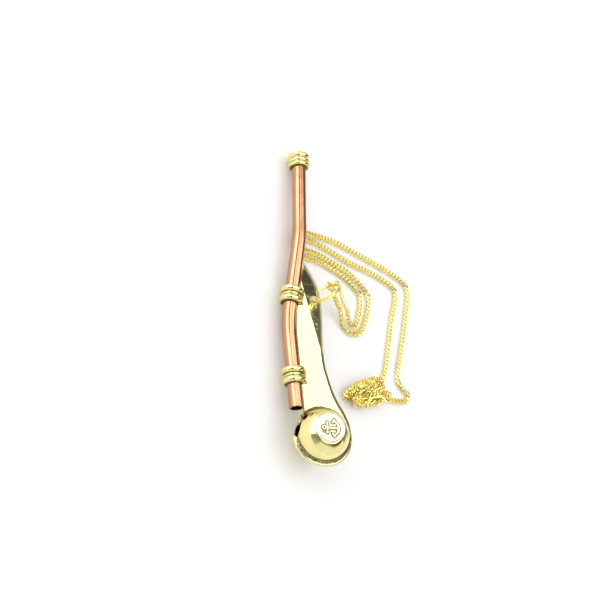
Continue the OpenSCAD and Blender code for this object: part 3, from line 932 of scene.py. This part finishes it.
class CALL_OT_collars(Maker, bpy.types.Operator):
    """Turns the rings of the three collars"""

    bl_idname = "call.collars"
    bl_label = "Collars"

    def make(self, sizes, chain):
        """Two beads and a band between them on the tube, twice, and at its mouth two beads
        and the lip, a bead that turns into the bore and has neither tarnish nor painted shade on its outer half."""
        inner, bead = sizes.tube_r + TUBE_FIT, sizes.bead_r
        for name, (top, angle, at) in COLLARS.items():
            place = raised(top - at * heading(angle))
            for part, height, outer, start in (
                ("bead_upper", BEAD_HIGH, bead, BAND_HIGH / 2),
                ("band", BAND_HIGH, BAND_R, -BAND_HIGH / 2),
                ("bead_lower", BEAD_HIGH, bead, -COLLAR_HALF),
            ):
                profile = bead_profile(height, outer, inner, start)
                self.turn(name + "_" + part, profile, place, angle)
        end, bore = raised(CALL_END), sizes.bore_r
        for k, part in enumerate(("mouth_bead_upper", "mouth_bead_lower")):
            start = -LIP_HIGH - MOUTH_BEAD_HIGH * (k + 1)
            self.turn(part, bead_profile(MOUTH_BEAD_HIGH, MOUTH_R, inner, start), end, 0)
        lip = bead_profile(LIP_HIGH, MOUTH_R, inner, -LIP_HIGH, 18)[:-1]
        lip[lip[:, 0] > -LIP_HIGH / 2, 2] = 0
        seat = -LIP_COVER
        throat = [[-0.05, bore + 0.25, 0], [-0.3, bore, 0], [seat, bore, 0], [seat, inner, 0]]
        self.turn("mouth_lip", np.vstack([lip, throat]), end, 0)

    def turn(self, node, profile, place, angle):
        """Turns a profile round the tube's axis at a place, with the tarnish and painted shade it carries."""
        rows = lathe(profile, place, raised(heading(angle)))
        collar_shade_tarnish = np.broadcast_to(profile[:, 2], rows.shape[:2])
        put_closed(node + "_ring", rows, node, "brass", -1, collar_shade_tarnish)


# The keel's free edge from its nose down to the rim round the ball.
KEEL_EDGE = [
    (69.5, 8.2), (68.6, 6.3), (65.4, 4.1), (62.2, 2.3), (58.5, 0.9), (54.5, 0), (49.5, -0.6),
    (44, -0.75), (38, -0.8), (32, -1.1), (27, -1.8), (22.7, -3), (19.4, -4.05), (16.2, -5.35),
    (13.4, -6.8), (10.8, -8.4), (8.2, -9.75), (5.6, -10.8), (2.2, -11.3),
]
RIM_CENTRE, RIM_FROM = np.array([-0.4, -0.2]), radians(-78)
CHAMBER_R, ROUND_STEPS = 9.0, 110
NOTCH_GAP, NOSE_BACK = 0.05, 7.4
HOLE_STEPS, HOLE_EDGE, HOLE_DIP = 48, 0.24, 0.25
EDGE_EXTRA, EDGE_FROM, EDGE_TO, EDGE_POWER = 1.1, 3, 8, 1.5

# The mesh's net, how far its points keep from what, and where it has rows along the edge
# and round the hole.
NET_X, NET_Y, NET_DEPTH = 0.9, 0.8, 3.1
SEAT_CLEAR, HOLE_CLEAR = 0.12, 0.75
EDGE_ROWS = (0.03, 0.1, 0.22, 0.4, 0.65, 0.95, 1.3, 1.6, 1.8, 1.92, 2.1, 2.8)
HOLE_ROWS = (0.03, 0.08, 0.15, 0.22, 0.3, 0.5)

# The air slot: its angle round the ball, half its length, and half its width.
SLOT_ANGLE, SLOT_HALF, SLOT_WIDE = radians(75), 4.25, 3.25


def depth_from(points, line):
    """How far each point is from the nearest spot of a line of points."""
    along = np.diff(line, axis=0)
    off = points[:, None] - line[None, :-1]
    t = np.clip((off * along).sum(-1) / (along * along).sum(-1), 0, 1)
    return np.linalg.norm(off - t[..., None] * along, axis=-1).min(axis=1)


def inside(points, loop):
    """True for points inside a loop: a line out from them crosses it an odd number of times."""
    a, b = loop, np.roll(loop, -1, axis=0)
    x, y = points[:, None, 0], points[:, None, 1]
    rise = np.where(b[:, 1] == a[:, 1], 1.0, b[:, 1] - a[:, 1])
    crossed = (a[:, 1] > y) != (b[:, 1] > y)
    return (crossed & (x < a[:, 0] + (y - a[:, 1]) * (b[:, 0] - a[:, 0]) / rise)).sum(1) % 2 == 1


def rounded(depth, wide, power=2.2, lip=0.12):
    """Height of a rounded edge, as a part of its full height, at a depth in from it:
    (1 - (1 - depth / wide) ^ power) ^ (1 / power), but never less than the lip."""
    u = np.clip(depth / wide, 0, 1)
    return np.maximum(lip, (1 - (1 - u) ** power) ** (1 / power))


def from_hole(points):
    """How far each point is from the edge of the ring's hole."""
    return np.linalg.norm(points - HOLE, axis=1) - HOLE_R


class CALL_OT_keel(Maker, bpy.types.Operator):
    """Cuts the keel plate with its rounded edge, the rim round the ball and the ring's hole"""

    bl_idname = "call.keel"
    bl_label = "Keel"

    def notch(self, collar, seat, deep):
        """The corners of the notch for a collar, which is a small gap longer and deeper."""
        top, angle, at = COLLARS[collar]
        reach = COLLAR_HALF + NOTCH_GAP
        back = np.outer([at + reach, at + reach, at - reach, at - reach], heading(angle))
        return top - back - np.outer([seat, deep, deep, seat], across(angle))

    def outline(self, sizes):
        """Once round the plate: the free edge from the nose down, the rim round the ball, in
        through the air slot, back round the chamber, and up along the tube's seat with a
        notch for each collar. Returns the points and how many of them belong to the edge
        that is rounded."""
        rim, seat = sizes.rim_r, sizes.tube_r + TUBE_FIT
        across_slot = across(SLOT_ANGLE)
        rim_end = SLOT_ANGLE + np.arcsin((SLOT_HALF - RIM_CENTRE @ across_slot) / rim)
        a = np.linspace(RIM_FROM, rim_end - 2 * np.pi, ROUND_STEPS)
        edge = np.vstack([smooth_curve(KEEL_EDGE, 8)[6:], RIM_CENTRE + rim * heading(a)])
        gap = np.arcsin(SLOT_HALF / CHAMBER_R)
        a = np.linspace(SLOT_ANGLE + gap, SLOT_ANGLE + 2 * np.pi - gap, ROUND_STEPS)
        deep = sizes.bead_r + NOTCH_GAP
        low, middle = (self.notch(name, seat, deep) for name in ("low_collar", "middle_collar"))
        bend = LOW_CENTRE + (BEND_R - seat) * across(np.linspace(LOW_ANGLE, MIDDLE_ANGLE, 8))
        foot = OPEN_END - seat * across(LOW_ANGLE)
        along = heading(LOW_ANGLE)
        corner = foot - (SLOT_HALF + foot @ across_slot) / (along @ across_slot) * along
        nose = MIDDLE_TOP - NOSE_BACK * heading(MIDDLE_ANGLE) - seat * across(MIDDLE_ANGLE)
        loop = [edge, CHAMBER_R * heading(a), [corner], low, bend, middle, [nose]]
        return np.vstack(loop), len(edge)

    def spots(self, loop, edge):
        """Points inside the plate: rows that follow the rounded edge closer and closer, rows
        round the hole, and a wide net of points over the rest. Each keeps its distance from
        the edge, from the seat and from the hole."""
        way = unit(np.gradient(edge, axis=0))
        inward = np.stack([way[:, 1], -way[:, 0]], axis=1)
        rows = [(edge + d * inward)[:: 1 + (d > 0.5)] for d in EDGE_ROWS]
        depths = [np.full(len(row), 0.93 * d) for row, d in zip(rows, EDGE_ROWS)]
        x, y = np.meshgrid(np.arange(-12, 70, NET_X), np.arange(-12, 13, NET_Y), indexing="ij")
        x = x + NET_X / 2 * (np.arange(x.shape[1]) % 2)
        net = np.stack([x.ravel(), y.ravel()], axis=1)
        points = np.vstack([*rows, net])
        depths = np.concatenate([*depths, np.full(len(net), NET_DEPTH)])
        seat = np.vstack([loop[len(edge) - 1:], loop[:1]])
        keep = (depth_from(points, edge) > depths) & inside(points, loop)
        keep &= (depth_from(points, seat) > SEAT_CLEAR) & (from_hole(points) > HOLE_CLEAR)
        rounds = [HOLE + circle(HOLE_R + d, HOLE_STEPS) for d in HOLE_ROWS]
        return np.vstack([points[keep], *rounds])

    def sheet(self, loop, hole, spots):
        """Triangles that face up over what is inside the loop but not in the hole, with the
        points that they join and, for the loop and for the hole, which points it runs through."""
        n, m = len(loop), len(hole)
        lines = np.split(np.arange(n + m), [n])
        rings = [pair for line in lines for pair in np.stack([line, np.roll(line, -1)], 1).tolist()]
        given = [Vector(p) for p in np.vstack([loop, hole, spots])]
        found = delaunay_2d_cdt(given, rings, [], 0, 1e-5)
        flat = np.array([tuple(p) for p in found[0]])
        place = {ids[0]: new for new, ids in enumerate(found[3]) if ids}
        triangles = np.array(found[2])
        middle = flat[triangles].mean(axis=1)
        triangles = triangles[inside(middle, loop) & (from_hole(middle) > -0.002 * HOLE_R)]
        a, b, c = (flat[triangles[:, k]] for k in range(3))
        turned = (b - a)[:, 0] * (c - a)[:, 1] - (b - a)[:, 1] * (c - a)[:, 0] < 0
        triangles[turned] = triangles[turned][:, ::-1]
        return flat, triangles, [np.array([place[i] for i in line.tolist()]) for line in lines]

    def make(self, sizes, chain):
        """Both faces stand half a thickness off the middle, times the rounding at each point's
        distance from the free edge, and dip a little round the hole. The edge is rounded
        further in along the narrow part than round the ball."""
        loop, count = self.outline(sizes)
        edge, hole = loop[:count], HOLE + circle(HOLE_R, HOLE_STEPS)
        flat, triangles, lines = self.sheet(loop, hole, self.spots(loop, edge))
        wide = sizes.edge_w + EDGE_EXTRA * ease(flat[:, 0], EDGE_FROM, EDGE_TO)
        dip = HOLE_DIP * (1 - rounded(from_hole(flat), HOLE_EDGE, lip=0.0))
        part = np.minimum(rounded(depth_from(flat, edge), wide, EDGE_POWER), 1 - dip)
        height = sizes.keel_t / 2 * part
        n = len(flat)
        faces = triangles.tolist() + (triangles[:, ::-1] + n).tolist()
        for line in lines:
            after = np.roll(line, -1)
            faces += np.stack([line, after, after + n, line + n], axis=1).tolist()
        points = np.vstack([raised(flat, height), raised(flat, -height)])
        put("keel", lay(points), faces, "call", ("keel_plate",), "keel_brass")


BALL_WALL, FLAT_MIDDLE, SHELL_STEPS, SHELL_ROWS = 0.6, 0.3, 400, 44
# Painted shade with tarnish on the shell's outside: full below this height, fading out over the next span.
FOOT_SHADE_FROM, FOOT_SHADE_FADE = 1.75, 0.4
SOLDER_STEPS, SOLDER_GAP, SOLDER_FADE, SOLDER_SUNK = 420, 0.25, radians(8), 0.04


class CALL_OT_ball(Maker, bpy.types.Operator):
    """Presses the two shells of the ball and runs the solder round their feet"""

    bl_idname = "call.ball"
    bl_label = "Ball"

    def make(self, sizes, chain):
        for side, sign in (("front", 1), ("back", -1)):
            self.shell(side, sign, sizes)
            self.solder(side, sign, sizes)

    def shell(self, side, sign, sizes):
        """A ball's wall from its foot up to the flat that carries the medallion. The foot's
        height follows the round-ended air slot, and the column at angle a holds the outside,
        the flat's middle and the inside."""
        r, keel = sizes.ball_r, sizes.keel_t / 2
        top = np.sqrt(r * r - sizes.medal_r**2)
        a = SLOT_ANGLE + np.linspace(-np.pi, np.pi, SHELL_STEPS, endpoint=False)
        past = np.clip(np.abs(r * np.sin(a - SLOT_ANGLE)) - (SLOT_HALF - SLOT_WIDE), 0, None)
        window = np.sqrt(np.clip(SLOT_WIDE**2 - past**2, 0, None))
        foot = np.where(np.cos(a - SLOT_ANGLE) > 0, np.maximum(window, keel), keel)[:, None]
        t = np.linspace(0, 1, SHELL_ROWS)[None]
        z = foot + (top - foot) * t
        zi = foot + (top - BALL_WALL - foot) * t[:, ::-1]
        ring = np.ones((len(a), 1))
        high = np.hstack([z, ring * [top, top - BALL_WALL], zi])
        outer, inner = np.sqrt(r * r - z**2), np.sqrt((r - BALL_WALL) ** 2 - zi**2)
        far = np.hstack([outer, ring * [FLAT_MIDDLE, FLAT_MIDDLE], inner])
        # Painted shade, with tarnish, on the shell's outside near its foot on the keel.
        shade_tarnish_marks = np.clip(1 - (high - FOOT_SHADE_FROM) / FOOT_SHADE_FADE, 0, 1) * (far > r - BALL_WALL)
        points = turned_about(a, far, sign * high)
        put_closed("ball_half_" + side, points, "ball_shell_" + side, "brass", sign, shade_tarnish_marks)

    def solder(self, side, sign, sizes):
        """The hollow fillet of solder round a shell's foot, broken at the air slot: its face
        rises towards the shell as the square of the way in, its toe wavers, and it runs out
        to nothing at both ends."""
        r = sizes.ball_r
        wide, tall = sizes.solder_w, sizes.solder_h
        gap = np.arcsin((SLOT_HALF + SOLDER_GAP) / r)
        a = SLOT_ANGLE + np.linspace(gap, 2 * np.pi - gap, SOLDER_STEPS)
        fade = np.clip(np.minimum(a - a[0], a[-1] - a) / SOLDER_FADE, 0, 1)
        fade = np.sqrt(fade * (2 - fade) + 1e-4)[:, None]
        waver = 1 + 0.07 * np.sin(9 * a) + 0.05 * np.sin(23 * a + 1) + 0.04 * np.sin(41 * a)
        waver = waver[:, None]
        t, ring = np.linspace(0, 1, 9)[None], np.ones_like(waver)
        out = np.hstack([(1 - t) * wide * waver, ring * [-0.3, -0.3]])
        high = np.hstack([0.06 + tall * t**2 * waver, ring * [0.6, -0.05]])
        high = sizes.keel_t / 2 + high * fade
        points = turned_about(a, r - SOLDER_SUNK + out * fade, sign * high)
        n, m = high.shape
        faces = grid_faces(n, m, False, True).tolist()
        faces += [list(range(m)), list(range(n * m - 1, n * m - m - 1, -1))]
        faces = [face[::sign] for face in faces]
        put("solder_" + side, lay(points), faces, "call", slot="brass", metal="solder")


def anchor_height(x, y):
    """How high the anchor stands at each point of the medallion, from 0 to 1, and how much
    shade is painted beside it, both by the smallest distance to its lines less half their
    width. The shank runs along y with the eye at the top, the stock crosses below the eye,
    a rope hangs over the stock on one side and the arms curve up to flukes."""

    def line(x, ax, ay, bx, by, half):
        px, py, vx, vy = x - ax, y - ay, bx - ax, by - ay
        t = np.clip((px * vx + py * vy) / (vx * vx + vy * vy), 0, 1)
        return np.hypot(px - t * vx, py - t * vy) - half

    out = np.abs(x)
    shank = line(x, 0, -3.1, 0, 1.7, 0.42)
    stock = line(x, -1.75, 1.25, 1.75, 1.25, 0.34)
    knobs = np.hypot(out - 1.85, y - 1.25) - 0.5
    eye = np.abs(np.hypot(x, y - 2.45) - 0.62) - 0.3
    bow = np.abs(np.hypot(x, y + 0.35) - 2.75) - (0.32 + 0.16 * np.clip((-y - 1.0) / 2, 0, 1))
    bow = np.where(y < -0.9, bow, 9.0)
    flukes = line(out, 2.1, -0.75, 3.1, -1.5, 0.42)
    rope = line(x, -1.6, 2.6, -0.7, 0.3, 0.16)
    near = np.minimum.reduce([shank, stock, knobs, eye, bow, flukes, rope])
    return ease(-near, -0.12, 0.16), np.exp(-(((near - 0.2) / 0.24) ** 2))


MEDAL_STEPS, MEDAL_ROWS, MEDAL_FLAT = 288, 110, 0.965
FACE_HIGH, RELIEF, BORDER, RIM_HIGH, RIM_ROUND = 0.62, 0.34, 0.10, 0.58, 0.2


class CALL_OT_medallions(Maker, bpy.types.Operator):
    """Strikes a medallion with a raised anchor for each side of the ball"""

    bl_idname = "call.medallions"
    bl_label = "Medallions"

    def make(self, sizes, chain):
        """A disc on a grid of radius and angle, its face raised by the anchor and by a low
        border, and its rim rounded down to the ball."""
        r = sizes.medal_r
        base = np.sqrt(sizes.ball_r**2 - r * r)
        a = np.linspace(0, 2 * np.pi, MEDAL_STEPS, endpoint=False)
        s = np.concatenate([[0.012], np.linspace(0.02, MEDAL_FLAT, MEDAL_ROWS)]) * r
        place = s[:, None] * heading(a)[:, None]
        anchor, corner = anchor_height(place[..., 0], place[..., 1])
        face = base + FACE_HIGH + RELIEF * anchor + BORDER * ease(s / r, 0.86, 0.95)
        bend = np.linspace(0, np.pi / 2, 7)
        rim = r * (MEDAL_FLAT + (1 - MEDAL_FLAT) * np.sin(bend))
        outline = np.concatenate([s, rim, [r, 0.05 * r]])
        back = np.concatenate([RIM_HIGH + RIM_ROUND * np.cos(bend), [0, 0]]) + base
        ring = np.ones((MEDAL_STEPS, 1))
        far, high = ring * outline, np.hstack([face, ring * back])
        # Painted shade beside the anchor and where the rim meets the ball.
        shade_tarnish_marks = np.hstack([corner, ring * np.zeros(len(bend)), ring * [1, 1]])
        for side, sign in (("front", 1), ("back", -1)):
            points = turned_about(a, far, sign * high)
            put_closed("medal_" + side, points, "medallion_" + side, "pale_brass", -sign, shade_tarnish_marks)


class CALL_OT_plain(Maker, bpy.types.Operator):
    """Gives the solids under the pieces their metals too"""

    bl_idname = "call.plain"
    bl_label = "Solids"

    def make(self, sizes, chain):
        for part in frame["record"]["subparts"]:
            dress(frame["nodes"][part["node"]], finish(part["material_slot"]))


class CALL_PT_panel(bpy.types.Panel):
    """Lists the pieces of the call"""

    bl_idname = "CALL_PT_panel"
    bl_label = "Boatswain's call"
    bl_space_type = "VIEW_3D"
    bl_region_type = "UI"
    bl_category = "Call"

    def draw(self, context):
        for group in ("call_sizes", "call_chain", "call_finish"):
            settings = getattr(context.scene, group)
            box = self.layout.box()
            for key in settings.__annotations__:
                box.prop(settings, key)
        for maker in MAKERS:
            self.layout.operator(maker.bl_idname)


MAKERS = (
    CALL_OT_stage, CALL_OT_chain, CALL_OT_ring, CALL_OT_tube, CALL_OT_collars,
    CALL_OT_keel, CALL_OT_ball, CALL_OT_medallions, CALL_OT_plain,
)
CLASSES = (CALL_PG_sizes, CALL_PG_chain, CALL_PG_finish, *MAKERS, CALL_PT_panel)


def register():
    for cls in CLASSES:
        bpy.utils.register_class(cls)
    bpy.types.Scene.call_sizes = PointerProperty(type=CALL_PG_sizes)
    bpy.types.Scene.call_chain = PointerProperty(type=CALL_PG_chain)
    bpy.types.Scene.call_finish = PointerProperty(type=CALL_PG_finish)


def unregister():
    del bpy.types.Scene.call_finish
    del bpy.types.Scene.call_chain
    del bpy.types.Scene.call_sizes
    for cls in reversed(CLASSES):
        bpy.utils.unregister_class(cls)


def main():
    """Makes every piece in order."""
    register()
    for maker in MAKERS:
        group, name = maker.bl_idname.split(".")
        getattr(getattr(bpy.ops, group), name)()


if __name__ == "__main__":
    main()
